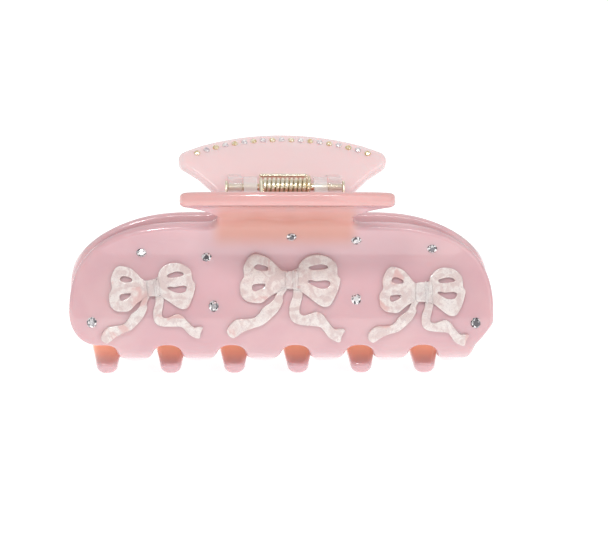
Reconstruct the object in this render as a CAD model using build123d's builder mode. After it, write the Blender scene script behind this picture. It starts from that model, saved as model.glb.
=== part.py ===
"""Claw hair clip: two identical bent sheet jaws on a sprung hinge, with bow inlays and set stones.

Millimetres, +Z up. The origin is the middle of the hinge pin. X runs along the pin, the front jaw is
on the -Y side and the clip stands with its tooth tips down. Both jaws are one shape: the rear jaw is
the front jaw turned half a turn about Z, so that its teeth fall into the gaps of the other.
"""
from build123d import *
from math import radians, sin, sqrt, tan
import os

# ---- driving dimensions: jaws -------------------------------------------------------------------
jaw_width = 95.0            # end to end of one jaw
sheet = 3.0                 # thickness of the bent sheet
jaw_gap = 0.4               # space between the two jaws where they are closest
handle_reach = 19.9         # middle of the sheet at the handle tip, out from the mid plane
handle_rise = 4.3           # the same point, above the pin
handle_knee = (11.5, 1.2)   # where the handle levels out: out from the mid plane, above the pin
handle_knee_radius = 25.0
neck_depth = 7.2            # corner between handle and neck, below the pin
neck_radius = 12.0
flare_depth = 16.0          # corner where the jaw starts to open out
flare_radius = 12.0
belly_reach = 7.7           # middle of the sheet at the belly, out from the mid plane
flare_fall = 1.8833         # how far the jaw drops for each millimetre that it flares out
belly_radius = 14.0
belly_run = 8.7             # from the belly down to the bend where the teeth turn in
tooth_bend_radius = 8.0
tooth_cross = 4.6           # how far a tooth tip passes the mid plane
tooth_fall = 0.5203         # how far a tooth drops for each millimetre that it reaches in

# ---- driving dimensions: outline of a jaw -------------------------------------------------------
wing_width = 47.5           # handle, at its widest
waist_width = 31.0          # sheet left between the two slots
slot_width = 3.0            # at the closed end of a slot
slot_depth = 4.4            # top of a slot at its closed end, below the pin on the middle of the sheet
wing_corner = 4.5           # radius of the wing's corners
wing_bow = 6.0              # how far the top edge of the wing is arched
shoulder_flat = 20.0        # half width of the level top of the shoulders
shoulder_depth = 8.0        # top of the shoulders, below the pin
widest_rise = 0.3           # greatest width, above the corner between flare and belly
end_corner = 7.0            # radius of the lower end without a tooth
end_drop = 2.5              # straight edge below the widest level, at the end with a tooth

# ---- driving dimensions: teeth ------------------------------------------------------------------
tooth_pitch = 14.4
tooth_shift = 0.28          # how far the row of teeth is off centre, as a share of the pitch
tooth_root_share = 7 / 12   # width where a tooth leaves the jaw, as a share of the pitch
tooth_tip_share = 7 / 24    # width at the start of its round tip, as a share of the pitch
arch_level = 14.2           # from the tip of a tooth to the top of the arch beside it
arch_corner_share = 1 / 6   # radius where an arch meets a tooth, as a share of the pitch
end_margin = 8.0            # least distance from a tooth's middle to the end of the jaw

# ---- driving dimensions: hinge ------------------------------------------------------------------
pin_radius = 0.8
pin_bore = 0.45             # radius of the hole through the tubular pin
pin_head_radius = 1.45
pin_head = 0.6              # thickness of the rolled head
pin_head_round = 0.25       # radius of a head's outer rim
pin_play = 0.1              # between a head and the lug beside it
lug_width = 3.0
lug_radius = 2.3
lug_gap = 0.3               # between an inner and an outer lug
lug_run_fit = 0.05          # radial clearance of the pin in the front jaw's lugs
lug_foot = (3.6, 8.4)       # where a lug's foot starts and ends, out from the mid plane
spring_room = 12.6          # between the two inner lugs
spring_play = 0.4           # at each end of the coil
spring_wire = 1.0
spring_inside = 0.35        # radial space between the pin and the coil
spring_turns = 9
leg_reach = 7.0             # where the spring's legs run along the handles, out from the mid plane
leg_level = 0.25            # the same, above the pin
leg_end = 1.2               # space between the end of a leg and the lug it points at
leg_lead = 2.0              # straight wire that leaves the coil before a leg turns
leg_bend = 0.9              # radius of the bends in a leg, on the middle of the wire

# ---- driving dimensions: decoration -------------------------------------------------------------
bow_height = 0.9            # how far a bow stands proud of the jaw
bow_spread = 16.6           # from the end of the jaw to the middle of an outer bow
bow_shift = 0.6             # the row of bows is a little off centre
bow_depth = 22.8            # knots, below the pin
centre_bow_size = 1.16      # the centre bow, compared with the outer ones
stone_radius = 1.15
stone_proud = 0.45          # how far a stone's table stands above the jaw
stone_seat = 0.9            # depth of the drilled seat
stone_fit = 0.05            # radial clearance of a stone in its seat
crystal_radius = 0.75
crystal_height = 0.5
crystal_inset = 2.2         # from the top edge of the wing to the middle of the row
crystal_pitch = 2.15
crystal_count = 19

# ---- worked out ---------------------------------------------------------------------------------
half_width = jaw_width / 2
half_sheet = sheet / 2
neck_reach = jaw_gap / 2 + half_sheet
belly_depth = flare_depth + flare_fall * (belly_reach - neck_reach)
tooth_bend_depth = belly_depth + belly_run
tooth_tip_depth = tooth_bend_depth + tooth_fall * (belly_reach + tooth_cross)
widest_depth = belly_depth - widest_rise
tooth_root = tooth_pitch * tooth_root_share
tooth_tip = tooth_pitch * tooth_tip_share
arch_corner = tooth_pitch * arch_corner_share
front_face = 25.0           # further out than any part of a jaw, used to reach through it
overcut = 6.0               # how far a cut runs past the edge that it trims
cut_reach = 9.0             # depth of a cut through the bent sheet, to each side of its plane

os.makedirs("parts", exist_ok=True)


def write(part, name):
    """Label a finished piece and write its STEP file."""
    part.label = name
    export_step(part, f"parts/{name}.step")


# The section of a jaw is drawn as (Y, Z) with the front jaw on the -Y side.
section_points = [
    (-handle_reach, handle_rise),
    (-handle_knee[0], handle_knee[1]),
    (-neck_reach, -neck_depth),
    (-neck_reach, -flare_depth),
    (-belly_reach, -belly_depth),
    (-belly_reach, -tooth_bend_depth),
    (tooth_cross, -tooth_tip_depth),
]
section_radii = [handle_knee_radius, neck_radius, flare_radius, belly_radius, tooth_bend_radius]


def rounded_line(points, radii):
    """Straight runs joined by tangent arcs: corner i of the line has radius i of the list."""
    runs = []
    last = Vector(*points[0])
    for before, corner, after, radius in zip(points, points[1:], points[2:], radii):
        here = Vector(*corner)
        back = (Vector(*before) - here).normalized()
        ahead = (Vector(*after) - here).normalized()
        half_turn = radians(back.get_angle(ahead)) / 2
        reach = radius / tan(half_turn)
        start = here + back * reach
        stop = here + ahead * reach
        middle = here + (back + ahead).normalized() * (radius / sin(half_turn) - radius)
        runs.append(("line", last, start))
        runs.append(("arc", start, middle, stop))
        last = stop
    runs.append(("line", last, Vector(*points[-1])))
    return runs


def beside(points, radii, distance):
    """The same rounded line moved sideways, to the left of its direction, with radii to match."""
    moved = []
    moved_radii = []
    ways = [(Vector(*b) - Vector(*a)).normalized() for a, b in zip(points, points[1:])]
    lefts = [Vector(-way.Y, way.X) for way in ways]
    moved.append(Vector(*points[0]) + lefts[0] * distance)
    for corner, radius, way, left, next_left in zip(points[1:], radii, ways, lefts, lefts[1:]):
        middle = (left + next_left).normalized()
        moved.append(Vector(*corner) + middle * (distance / middle.dot(left)))
        turns_left = next_left.dot(way) < 0
        moved_radii.append(radius - distance if turns_left else radius + distance)
    moved.append(Vector(*points[-1]) + lefts[-1] * distance)
    return [(p.X, p.Y) for p in moved], moved_radii


def draw_runs(runs):
    """Draw the runs of a rounded line into the line that is being built."""
    for kind, *ends in runs:
        if kind == "line":
            Line(*[(p.X, p.Y) for p in ends])
        else:
            ThreePointArc(*[(p.X, p.Y) for p in ends])


def draw_band(low, high):
    """Closed outline between two lines beside the section, at these distances from it."""
    inner = rounded_line(*beside(section_points, section_radii, low))
    outer = rounded_line(*beside(section_points, section_radii, high))
    draw_runs(inner)
    draw_runs(outer)
    Line((inner[0][1].X, inner[0][1].Y), (outer[0][1].X, outer[0][1].Y))
    Line((inner[-1][2].X, inner[-1][2].Y), (outer[-1][2].X, outer[-1][2].Y))


with BuildLine(Plane.YZ) as section_line:
    draw_runs(rounded_line(section_points, section_radii))
section_wire = section_line.wire()
section_length = section_wire.length


def along_section(distance):
    """Point and direction on the middle of the sheet, at a distance from the handle tip."""
    place = section_wire.position_at(distance / section_length)
    way = section_wire.tangent_at(distance / section_length)
    if section_wire.position_at(0).Z < section_wire.position_at(1).Z:
        place = section_wire.position_at(1 - distance / section_length)
        way = section_wire.tangent_at(1 - distance / section_length) * -1
    return place, way


def section_at_depth(depth):
    """Distance from the handle tip at which the middle of the sheet is this far below the pin."""
    low, high = 0.0, section_length
    for _ in range(40):
        middle = (low + high) / 2
        if along_section(middle)[0].Z > -depth:
            low = middle
        else:
            high = middle
    return (low + high) / 2


def sheet_plane(distance, x=0.0, outward=True, lift=0.0):
    """Plane on a face of the sheet: its X along the pin, its Z out of the sheet."""
    place, way = along_section(distance)
    out = Vector(0, way.Z, -way.Y)
    if out.Y > 0:
        out = out * -1
    if not outward:
        out = out * -1
    origin = place + out * (half_sheet + lift)
    return Plane(origin=(x, origin.Y, origin.Z), x_dir=(1, 0, 0), z_dir=(out.X, out.Y, out.Z))


# Teeth of the front jaw: a row at the pitch, a little off centre.
most_teeth = int(jaw_width / tooth_pitch) + 1
tooth_places = [
    tooth_pitch * (number - tooth_shift) for number in range(-most_teeth, most_teeth + 1)
    if abs(tooth_pitch * (number - tooth_shift)) <= half_width - end_margin
]

wing_start = section_at_depth(slot_depth)


def up_the_sheet(plane, distance):
    """Height of a point of the section, measured up a sketch plane that lies along the sheet."""
    return (along_section(distance)[0] - plane.origin).dot(plane.y_dir)


# ---- the bare jaw -------------------------------------------------------------------------------
slot_place = along_section(wing_start)[0]
wing_rise = along_section(0)[0] - slot_place
wing_normal = Vector(0, -wing_rise.Z, wing_rise.Y)
wing_plane = Plane(slot_place, x_dir=(-1, 0, 0), z_dir=wing_normal * -1)
if wing_plane.y_dir.Z < 0:
    wing_plane = Plane(slot_place, x_dir=(1, 0, 0), z_dir=wing_normal * -1)
wing_top = up_the_sheet(wing_plane, 0)
tooth_middle = section_length - arch_level * 0.6
tooth_plane = sheet_plane(tooth_middle)
arch_top = up_the_sheet(tooth_plane, section_length - arch_level)
tip_end = up_the_sheet(tooth_plane, section_length)
corner_depth = tooth_bend_depth - 1
edge = half_width + 1
half_waist = waist_width / 2

with BuildPart() as bare_jaw:
    with BuildSketch(Plane.YZ):
        with BuildLine():
            draw_band(-half_sheet, half_sheet)
        make_face()
    extrude(amount=half_width, both=True)
    # wing and slots, cut square to the sheet beside the slots
    with BuildSketch(wing_plane):
        with Locations((0, (wing_top + overcut - slot_width / 2) / 2)):
            Rectangle(2 * edge, wing_top + overcut + slot_width / 2)
        with BuildSketch(mode=Mode.PRIVATE) as wing:
            with BuildLine():
                side_height = wing_top - wing_bow
                Polyline((wing_width / 2, side_height), (half_waist, 0), (half_waist, -slot_width),
                         (-half_waist, -slot_width), (-half_waist, 0), (-wing_width / 2, side_height))
                ThreePointArc((-wing_width / 2, side_height), (0, wing_top + half_sheet / 2),
                              (wing_width / 2, side_height))
            make_face()
            corners = wing.vertices().group_by(Axis.X)
            fillet([corners[0], corners[-1]], wing_corner)
        add(wing.sketch, mode=Mode.SUBTRACT)
    extrude(amount=cut_reach, both=True, mode=Mode.SUBTRACT)
    # shoulders and ends, cut straight through from the front
    with BuildSketch(Plane.XZ):
        cut_top = slot_depth - slot_width / 3
        cut_bottom = corner_depth + overcut - 1
        with Locations((0, -(cut_top + cut_bottom) / 2)):
            Rectangle(2 * edge, cut_bottom - cut_top)
        with BuildSketch(mode=Mode.PRIVATE) as face_on:
            with BuildLine():
                quarter = half_width - shoulder_flat
                fall = widest_depth - shoulder_depth
                EllipticalCenterArc((shoulder_flat, -widest_depth), quarter, fall,
                                    start_angle=0, arc_size=90)
                Line((shoulder_flat, -shoulder_depth), (half_waist, -shoulder_depth))
                Polyline((half_waist, -shoulder_depth), (half_waist, 0), (-half_waist, 0),
                         (-half_waist, -shoulder_depth), (-shoulder_flat, -shoulder_depth))
                EllipticalCenterArc((-shoulder_flat, -widest_depth), quarter, fall,
                                    start_angle=90, arc_size=90)
                Line((-half_width, -widest_depth), (-half_width, end_corner - corner_depth))
                RadiusArc((-half_width, end_corner - corner_depth),
                          (-half_width + end_corner, -corner_depth), -end_corner)
                tooth_edge = tooth_places[-1] + tooth_root / 2
                Polyline((-half_width + end_corner, -corner_depth), (-half_width + end_corner, -cut_bottom),
                         (tooth_edge, -cut_bottom), (tooth_edge, -corner_depth),
                         (half_width, -widest_depth - end_drop), (half_width, -widest_depth))
            make_face()
        add(face_on.sketch, mode=Mode.SUBTRACT)
    extrude(amount=front_face, mode=Mode.SUBTRACT)
    # the arches between the teeth, and what lies beyond the end teeth
    with BuildSketch(tooth_plane):
        past_end = edge + tooth_root / 2 + 3
        row = [-past_end] + tooth_places + [past_end]
        round_start = tip_end + tooth_tip / 2
        for left, right in zip(row, row[1:]):
            with BuildSketch(mode=Mode.PRIVATE) as arch:
                with BuildLine():
                    Polyline((left + tooth_root / 2, arch_top), (right - tooth_root / 2, arch_top),
                             (right - tooth_tip / 2, round_start), (right - tooth_tip / 2, tip_end - 2),
                             (left + tooth_tip / 2, tip_end - 2), (left + tooth_tip / 2, round_start),
                             close=True)
                make_face()
                fillet(arch.vertices().group_by(Axis.Y)[-1], arch_corner)
            add(arch.sketch)
        for x in tooth_places:
            with BuildSketch(mode=Mode.PRIVATE) as round_tip:
                with Locations((x, round_start)):
                    Rectangle(tooth_tip + 0.2, tooth_tip / 2 + 2, align=(Align.CENTER, Align.MAX))
                    Circle(tooth_tip / 2, mode=Mode.SUBTRACT)
            add(round_tip.sketch)
    extrude(amount=cut_reach, both=True, mode=Mode.SUBTRACT)



# ---- decoration, in the flat --------------------------------------------------------------------
def place_on_front(x, depth, lift=0.0):
    """Plane on the front jaw's outer face, at this x and with the sheet this far below the pin."""
    return sheet_plane(section_at_depth(depth), x=x, lift=lift)


def bow_outline(size):
    """A ribbon bow: two lobes with slots on each side, a knot and two tails."""
    for side in (-1, 1):
        with Locations((side * 6.6 * size, 2.3 * size)):
            Ellipse(4.6 * size, 3.1 * size, rotation=side * 14)
        with Locations((side * 6.8 * size, -1.4 * size)):
            Ellipse(4.4 * size, 2.9 * size, rotation=side * -10)
        with Locations((side * 7.3 * size, 2.7 * size), (side * 7.1 * size, -0.9 * size)):
            SlotOverall(3.4 * size, 1.15 * size, mode=Mode.SUBTRACT)
    Rectangle(5.4 * size, 4.2 * size)
    for side, drop in ((-1, -9.6), (1, -8.8)):
        Polygon((0, 0), (side * 3.6 * size, -4.9 * size), (side * 7.4 * size, -6.6 * size),
                (side * 11.0 * size, drop * size), (side * 9.6 * size, (drop - 1.6) * size),
                (side * 6.4 * size, -8.6 * size), (side * 1.6 * size, -6.4 * size),
                (side * -1.4 * size, -1.0 * size), align=None)


def stone_outline(radius):
    """Half the section of a cut stone: a cone below its girdle, a short crown and a flat table."""
    Polygon((0, -stone_seat + 0.05), (radius, -0.1), (radius, 0.1),
            (radius * 0.58, stone_proud), (0, stone_proud), align=None)


bow_middles = (bow_shift - half_width + bow_spread, bow_shift, bow_shift + half_width - bow_spread)
bow_places = [
    ("bow_left", bow_middles[0], 1.0),
    ("bow_centre", bow_middles[1], centre_bow_size),
    ("bow_right", bow_middles[2], 1.0),
]
# Stones are chosen one by one around the bows: the bow beside each, how far across from that bow's
# middle it lies, and its depth below the pin.
stone_plan = (
    (0, -1.6, 14.6), (0, 12.9, 15.7), (1, 0.9, 10.3), (1, 15.4, 11.3), (2, 1.6, 13.6),
    (0, 14.5, 25.8), (1, 15.4, 24.5), (0, -12.6, 29.0), (2, 11.4, 29.2),
)
stone_places = [(bow_middles[bow] + across, depth) for bow, across, depth in stone_plan]

# ---- jaws ---------------------------------------------------------------------------------------
with BuildPart() as front_jaw:
    add(bare_jaw.part)
    for x, depth in stone_places:
        with BuildSketch(place_on_front(x, depth, lift=stone_proud)):
            Circle(stone_radius + stone_fit)
        extrude(amount=-stone_seat - stone_proud, mode=Mode.SUBTRACT)
write(front_jaw.part, "front_jaw")

with BuildPart() as rear_jaw:
    add(bare_jaw.part.rotate(Axis.Z, 180))
write(rear_jaw.part, "rear_jaw")

# ---- bows and stones ----------------------------------------------------------------------------
for name, x, size in bow_places:
    with BuildPart() as bow:
        with BuildSketch(Plane.YZ.offset(x)):
            with BuildLine():
                draw_band(-half_sheet - bow_height, -half_sheet)
            make_face()
        extrude(amount=14 * size, both=True)
        with BuildSketch(Plane.XZ) as outline:
            with Locations((x, -bow_depth)):
                with BuildSketch(mode=Mode.PRIVATE) as flat_bow:
                    bow_outline(size)
                add(flat_bow.sketch)
        extrude(amount=front_face, mode=Mode.INTERSECT)
    write(bow.part, name)

for number, (x, depth) in enumerate(stone_places, 1):
    spot = place_on_front(x, depth)
    upright = Plane(spot.origin, x_dir=spot.x_dir, z_dir=spot.y_dir * -1)
    with BuildPart() as stone:
        with BuildSketch(upright):
            stone_outline(stone_radius)
        revolve(axis=Axis(spot.origin, spot.z_dir))
    write(stone.part, f"rhinestone_{number}")

# ---- crystals along the rear handle ---------------------------------------------------------------
edge_radius = ((wing_width / 2) ** 2 + (wing_bow + half_sheet / 2) ** 2) / (2 * wing_bow + half_sheet)


def crystal_places(first):
    """Every other place of the row that follows the arched top edge, on the handle's inner face."""
    places = []
    for number in range(first, crystal_count, 2):
        x = (number - (crystal_count - 1) / 2) * crystal_pitch
        drop = edge_radius - sqrt(edge_radius**2 - x**2)
        places.append(sheet_plane(drop + crystal_inset, x=x, outward=False))
    return places


for kind, first in (("gold", 0), ("clear", 1)):
    with BuildPart() as row:
        with Locations(crystal_places(first)):
            Cone(crystal_radius, crystal_radius / 2, crystal_height,
                 align=(Align.CENTER, Align.CENTER, Align.MIN))
    with BuildPart() as crystals:
        add(row.part.rotate(Axis.Z, 180))
    write(crystals.part, f"rear_{kind}_crystals")


# ---- hinge --------------------------------------------------------------------------------------
def inner_point(reach, sink):
    """Point inside the front handle, under the point of its inner face this far from the mid plane."""
    low, high = 0.0, wing_start
    for _ in range(40):
        middle = (low + high) / 2
        if -sheet_plane(middle, outward=False).origin.Y > reach:
            low = middle
        else:
            high = middle
    face = sheet_plane(low, outward=False, lift=-sink)
    return (face.origin.Y, face.origin.Z)


def lug(x, bore):
    """Clear block that fills the corner between the pin and the front handle."""
    with BuildPart() as block:
        with BuildSketch(Plane.YZ.offset(x)):
            with BuildLine():
                CenterArc((0, 0), lug_radius, 0, 360)
                Line(inner_point(lug_foot[0], 0.6), inner_point(lug_foot[1], 0.6))
            make_hull()
            Circle(bore, mode=Mode.SUBTRACT)
        extrude(amount=lug_width / 2, both=True)
        with BuildSketch(Plane.YZ.offset(x)):
            with BuildLine():
                draw_band(-half_sheet, half_sheet)
            make_face()
        extrude(amount=lug_width, both=True, mode=Mode.SUBTRACT)
    return block.part


inner_lug = (spring_room + lug_width) / 2
outer_lug = inner_lug + lug_width + lug_gap
for name, x in (("front_hinge_lug_left", -inner_lug), ("front_hinge_lug_right", inner_lug)):
    with BuildPart() as front_lug:
        add(lug(x, pin_radius + lug_run_fit))
    write(front_lug.part, name)
for name, x in (("rear_hinge_lug_left", -outer_lug), ("rear_hinge_lug_right", outer_lug)):
    with BuildPart() as rear_lug:
        add(lug(-x, pin_radius).rotate(Axis.Z, 180))
    write(rear_lug.part, name)

pin_half = outer_lug + lug_width / 2 + pin_play
with BuildPart() as hinge_pin:
    with BuildSketch(Plane.YZ):
        Circle(pin_radius)
    extrude(amount=pin_half + pin_head, both=True)
    with BuildSketch(Plane.YZ.offset(pin_half), Plane.YZ.offset(-pin_half - pin_head)):
        Circle(pin_head_radius)
    extrude(amount=pin_head)
    rims = hinge_pin.edges().filter_by(GeomType.CIRCLE).group_by(Axis.X)
    fillet([rims[0].sort_by(SortBy.RADIUS)[-1], rims[-1].sort_by(SortBy.RADIUS)[-1]], pin_head_round)
    with BuildSketch(Plane.YZ):
        Circle(pin_bore)
    extrude(amount=pin_half + pin_head, both=True, mode=Mode.SUBTRACT)
write(hinge_pin.part, "hinge_pin")

coil_radius = pin_radius + spring_inside + spring_wire / 2
coil_length = spring_room - 2 * spring_play - spring_wire
coil_end = coil_length / 2
leg_corner = Vector(coil_end, leg_reach, leg_level)
leg_stop = Vector(-inner_lug + lug_width / 2 + leg_end, leg_reach, leg_level)

with BuildPart() as torsion_spring:
    with BuildLine():
        coil = Helix(coil_length / spring_turns, coil_length, coil_radius,
                     center=(-coil_end, 0, 0), direction=(1, 0, 0), lefthand=True)
    with BuildSketch(Plane(coil @ 0, z_dir=coil % 0)):
        Circle(spring_wire / 2)
    sweep(is_frenet=True)
    for turn, root, way in ((1, coil @ 1, coil % 1), (-1, coil @ 0, (coil % 0) * -1)):
        corner = Vector(leg_corner.X * turn, leg_corner.Y * turn, leg_corner.Z)
        stop = Vector(leg_stop.X * turn, leg_stop.Y * turn, leg_stop.Z)
        with BuildLine() as leg:
            FilletPolyline(root, root + way * leg_lead, corner, stop, radius=leg_bend)
        with BuildSketch(Plane(root, z_dir=way)):
            Circle(spring_wire / 2)
        sweep(path=leg.line)
write(torsion_spring.part, "torsion_spring")
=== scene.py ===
"""Claw hair clip: the looks of every piece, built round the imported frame."""
import math

import bpy
import numpy as np
from mathutils import Matrix, Vector
from mathutils.geometry import delaunay_2d_cdt


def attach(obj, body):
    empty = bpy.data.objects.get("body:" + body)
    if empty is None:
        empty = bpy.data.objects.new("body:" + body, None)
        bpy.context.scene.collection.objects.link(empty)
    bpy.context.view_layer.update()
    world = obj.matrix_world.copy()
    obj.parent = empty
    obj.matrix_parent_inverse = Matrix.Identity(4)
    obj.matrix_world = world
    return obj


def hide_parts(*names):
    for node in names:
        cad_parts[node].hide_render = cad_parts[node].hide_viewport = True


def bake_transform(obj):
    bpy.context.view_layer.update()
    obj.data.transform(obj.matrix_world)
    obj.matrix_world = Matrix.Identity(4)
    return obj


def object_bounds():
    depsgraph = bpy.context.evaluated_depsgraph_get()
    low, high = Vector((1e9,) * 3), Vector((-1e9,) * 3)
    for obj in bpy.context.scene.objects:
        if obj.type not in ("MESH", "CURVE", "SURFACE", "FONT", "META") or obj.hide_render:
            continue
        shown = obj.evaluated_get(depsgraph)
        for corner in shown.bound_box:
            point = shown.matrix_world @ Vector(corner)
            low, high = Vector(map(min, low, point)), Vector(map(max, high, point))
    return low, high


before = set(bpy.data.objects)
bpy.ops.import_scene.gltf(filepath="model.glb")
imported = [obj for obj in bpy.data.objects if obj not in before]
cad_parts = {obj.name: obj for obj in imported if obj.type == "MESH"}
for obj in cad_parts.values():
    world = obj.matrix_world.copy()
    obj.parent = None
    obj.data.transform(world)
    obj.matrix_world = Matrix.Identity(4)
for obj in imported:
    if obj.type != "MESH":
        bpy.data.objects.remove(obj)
CAD_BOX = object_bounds()

bl_info = {
    "name": "Claw Hair Clip",
    "version": (1, 0, 0),
    "blender": (4, 5, 0),
    "location": "View3D > Sidebar > Hair Clip",
    "description": "Bent sheet jaws, hinge, ribbon bows, set stones and a studio stage",
    "category": "Add Mesh",
}

MM = 0.001
QUARTER = math.pi / 2
TINY = 1e-9
WHITE = (1.0, 1.0, 1.0, 1.0)
BLACK = (0.0, 0.0, 0.0, 1.0)

# ---- the sheet both jaws are bent from, in millimetres -------------------------------------------
# Corners of the middle of the sheet, as (out from the mid plane, up from the pin), and the radius of
# each bend between them: handle tip, knee, neck, flare, belly, tooth bend, tooth tip.
SECTION = (
    (20.6, 4.56), (11.5, 1.2), (1.7, -7.2), (1.7, -16.0), (7.7, -27.3), (7.7, -36.0), (-4.6, -42.4),
)
BENDS = (25.0, 12.0, 12.0, 14.0, 8.0)
SHEET = 3.0
HALF = SHEET / 2

# The handle: a wing with an arched edge that falls by WING_BOW to its ends, and a hollow below each
# corner that leads in to the waist.
WING_WIDTH = 49.2
WING_BOW = 7.0
WING_END = 6.5
CORNER_OUT = 1.2
CORNER_DOWN = 0.9
CORNER_ROUND = 5.4
HOLLOW_SHARE = 0.42
HOLLOW_IN = 0.45
HOLLOW_UP = 0.25
HOLLOW_ROUND = 9.0
WAIST = 15.3

# The jaw below it: a slot beside the waist, shoulders out to the widest place, and rounded ends.
SLOT_DEPTH = 3.8
SLOT_TOP_ROUND = 1.0
SLOT_FOOT_ROUND = 1.9
SHOULDER_FLAT = 20.0
SHOULDER_DEPTH = 7.8
REAR_SHOULDER_DEPTH = 7.1
SHOULDER_POWER = 2.35
WIDEST_DEPTH = 27.0
END_DEPTH = 29.5
END_ROUND = 2.5
END_WIDTH = 6.5
JAW_HALF = 47.5
DRIFT = 0.5

# The row of teeth: widths at the root and the tip, and the height of the arches between them.
TEETH = 6
PITCH = 14.4
TOOTH_SHIFT = 0.28
ROOT = 9.2
TIP = 4.2
TIP_ROUND = 2.08
ARCH = 14.2
ARCH_ROUND = 2.5

# How finely surfaces are divided: the table of the section, points round a curve and along the arched
# edge, the step along the jaws' outline, where a face's grid starts and how far it stays off the rim,
# both as shares of its step. An arc takes at most CORNER_SHARE of a side.
TABLE_STEPS = 6001
CURVE_POINTS = 40
ARC_POINTS = 31
OUTLINE_STEP = 0.36
GRID_START = 0.37
GRID_GAP = 0.4
MERGE = 1e-7
CORNER_SHARE = 0.49


def section_table():
    """Bend angle and place along the sheet: straight runs keep their angle and each bend turns it
    evenly, so the angle is a broken line in arc length and the place is its running sum."""
    points = np.array([complex(-u, z) for u, z in SECTION])
    ways = np.diff(points)
    ways = ways / abs(ways)
    turns = np.angle(ways[1:] / ways[:-1])
    reach = np.array(BENDS) * np.tan(abs(turns) / 2)
    runs = abs(np.diff(points)) - np.concatenate(([0.0], reach)) - np.concatenate((reach, [0.0]))
    lengths = np.zeros(2 * len(turns) + 1)
    lengths[0::2] = runs
    lengths[1::2] = np.array(BENDS) * abs(turns)
    knots = np.concatenate(([0.0], np.cumsum(lengths)))
    headings = np.concatenate(([0.0], np.cumsum(turns))) + np.angle(ways[0])
    angles = np.repeat(headings, 2)
    steps = np.linspace(0.0, knots[-1], TABLE_STEPS)
    heading = np.interp(steps, knots, angles)
    middle = np.exp(1j * (heading[1:] + heading[:-1]) / 2) * np.diff(steps)
    places = points[0] + np.concatenate(([0.0], np.cumsum(middle)))
    return steps, heading, places


STEPS, HEADING, PLACES = section_table()
LENGTH = STEPS[-1]


def depth_to_length(depth):
    """Length along the sheet at which its middle is this far below the pin."""
    return np.interp(depth, -PLACES.imag, STEPS)


def on_sheet(x, s, n, turned=False):
    """A point of the flat sheet, x across, s along from the handle tip and n out of its middle,
    carried onto the bent sheet: its place along the section plus n times the outward normal."""
    heading = np.interp(s, STEPS, HEADING)
    y = np.interp(s, STEPS, PLACES.real) + n * np.sin(heading)
    z = np.interp(s, STEPS, PLACES.imag) - n * np.cos(heading)
    side = -1.0 if turned else 1.0
    return np.stack(np.broadcast_arrays(side * x, side * y, z), axis=-1) * MM


# ---- outlines ------------------------------------------------------------------------------------
def corner_arc(before, here, after, radius, step):
    """Arc that rounds a corner: it touches both sides at radius / tan(half the corner), or just short
    of half of the shorter side, and its centre lies on the line that halves the corner."""
    back = before - here
    ahead = after - here
    back_length = np.hypot(*back)
    ahead_length = np.hypot(*ahead)
    back = back / back_length
    ahead = ahead / ahead_length
    half = math.acos(np.clip(back @ ahead, -1, 1)) / 2
    reach = min(radius / math.tan(half), CORNER_SHARE * back_length, CORNER_SHARE * ahead_length)
    radius = reach * math.tan(half)
    centre = here + (back + ahead) / np.hypot(*(back + ahead)) * radius / math.sin(half)
    start = here + back * reach - centre
    stop = here + ahead * reach - centre
    turn = math.atan2(start[0] * stop[1] - start[1] * stop[0], start @ stop)
    count = max(3, int(abs(turn) * radius / step) + 1)
    angles = np.linspace(0, turn, count) + math.atan2(start[1], start[0])
    return centre + radius * np.stack((np.cos(angles), np.sin(angles)), axis=1)


def rounded(corners, step):
    """Closed outline of straight runs, with each corner turned into an arc of its own radius, at even
    steps. Corners are (x, y, radius), and a radius of nought keeps a point as it is."""
    flat = np.array([(x, y) for x, y, _ in corners])
    pieces = []
    for i, (_, _, radius) in enumerate(corners):
        if radius <= 0:
            pieces.append(flat[i][None])
        else:
            pieces.append(corner_arc(flat[i - 1], flat[i], flat[(i + 1) % len(flat)], radius, step))
    return even_steps(np.concatenate(pieces), step)


def even_steps(loop, step):
    """The same closed outline at even steps: x and y are read off against the running length."""
    closed = np.concatenate((loop, loop[:1]))
    along = np.concatenate(([0.0], np.cumsum(np.hypot(*np.diff(closed, axis=0).T))))
    count = max(12, int(along[-1] / step))
    wanted = np.linspace(0, along[-1], count, endpoint=False)
    return np.stack([np.interp(wanted, along, closed[:, k]) for k in (0, 1)], axis=1)


def smooth_loop(points, step):
    """Closed curve through a few points: each stretch is a cubic whose slopes at its ends are half
    the step between the neighbours."""
    p = np.array(points, dtype=float)
    t = np.linspace(0, 1, 12, endpoint=False)[None, :, None]
    p0, p1, p2, p3 = (np.roll(p, k, axis=0)[:, None] for k in (1, 0, -1, -2))
    curve = 0.5 * (2 * p1 + (p2 - p0) * t + (2 * p0 - 5 * p1 + 4 * p2 - p3) * t**2
                   + (3 * p1 - p0 - 3 * p2 + p3) * t**3)
    return even_steps(curve.reshape(-1, 2), step)


def area(loop):
    """Signed area of a closed outline: half the sum of x * next y - y * next x."""
    x, y = loop.T
    return 0.5 * np.sum(x * np.roll(y, -1) - y * np.roll(x, -1))


def inside(points, loops):
    """Which points lie inside the loops, counting the edges that a ray from each one crosses."""
    hits = np.zeros(len(points), dtype=int)
    for loop in loops:
        a = loop
        b = np.roll(loop, -1, axis=0)
        py = points[:, 1][:, None]
        spans = (a[:, 1] > py) != (b[:, 1] > py)
        slope = (b[:, 0] - a[:, 0]) / np.where(b[:, 1] == a[:, 1], TINY, b[:, 1] - a[:, 1])
        crossing = a[:, 0] + (py - a[:, 1]) * slope
        hits += np.sum(spans & (points[:, 0][:, None] < crossing), axis=1)
    return hits % 2 == 1


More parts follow.
